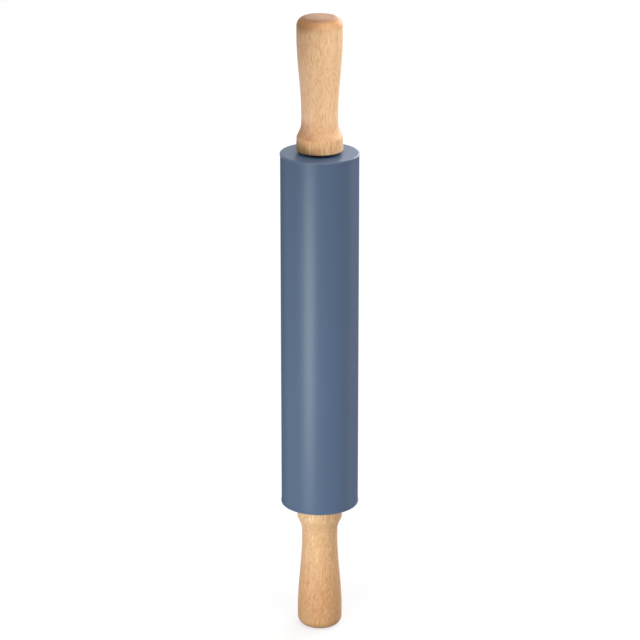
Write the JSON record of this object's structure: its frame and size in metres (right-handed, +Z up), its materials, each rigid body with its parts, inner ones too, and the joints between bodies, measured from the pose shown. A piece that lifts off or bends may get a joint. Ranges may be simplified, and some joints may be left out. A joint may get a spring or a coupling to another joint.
{
  "type": "rolling pin",
  "caption": "Rolling pin whose silicone-covered barrel turns on a steel axle between two turned wooden handles.",
  "frame": {"origin": "centre of the lower handle's flat end, on the surface that the pin stands on", "axes": "+Z up along the axle, from the lower handle to the upper handle; -Y towards the viewer of the picture, +X to the viewer's right"},
  "size_m": [0.0524, 0.0524, 0.4285],
  "materials": {
    "rubberwood": "turned smooth, satin lacquer",
    "silicone": "moulded silicone, satin",
    "cap_plastic": "moulded plastic in the silicone's colour, satin",
    "nylon": "dark moulded nylon",
    "steel": "drawn rod, zinc plated",
    "brass": "machined"
  },
  "bodies": {
    "handles": {"handle_upper": "rubberwood", "handle_lower": "rubberwood", "threaded_insert_upper": "brass", "threaded_insert_lower": "brass", "axle_rod": "steel", "washer_upper": "nylon", "washer_lower": "nylon"},
    "barrel": {"silicone_sleeve": "silicone", "barrel_core": "rubberwood", "end_cap_upper": "cap_plastic", "end_cap_lower": "cap_plastic", "bushing_upper": "nylon", "bushing_lower": "nylon"}
  },
  "joints": [
    {"name": "barrel_spin", "type": "hinge", "parent": "handles", "child": "barrel", "pos_m": [0, 0, 0.21425], "axis": [0, 0, 1], "continuous": true}
  ]
}
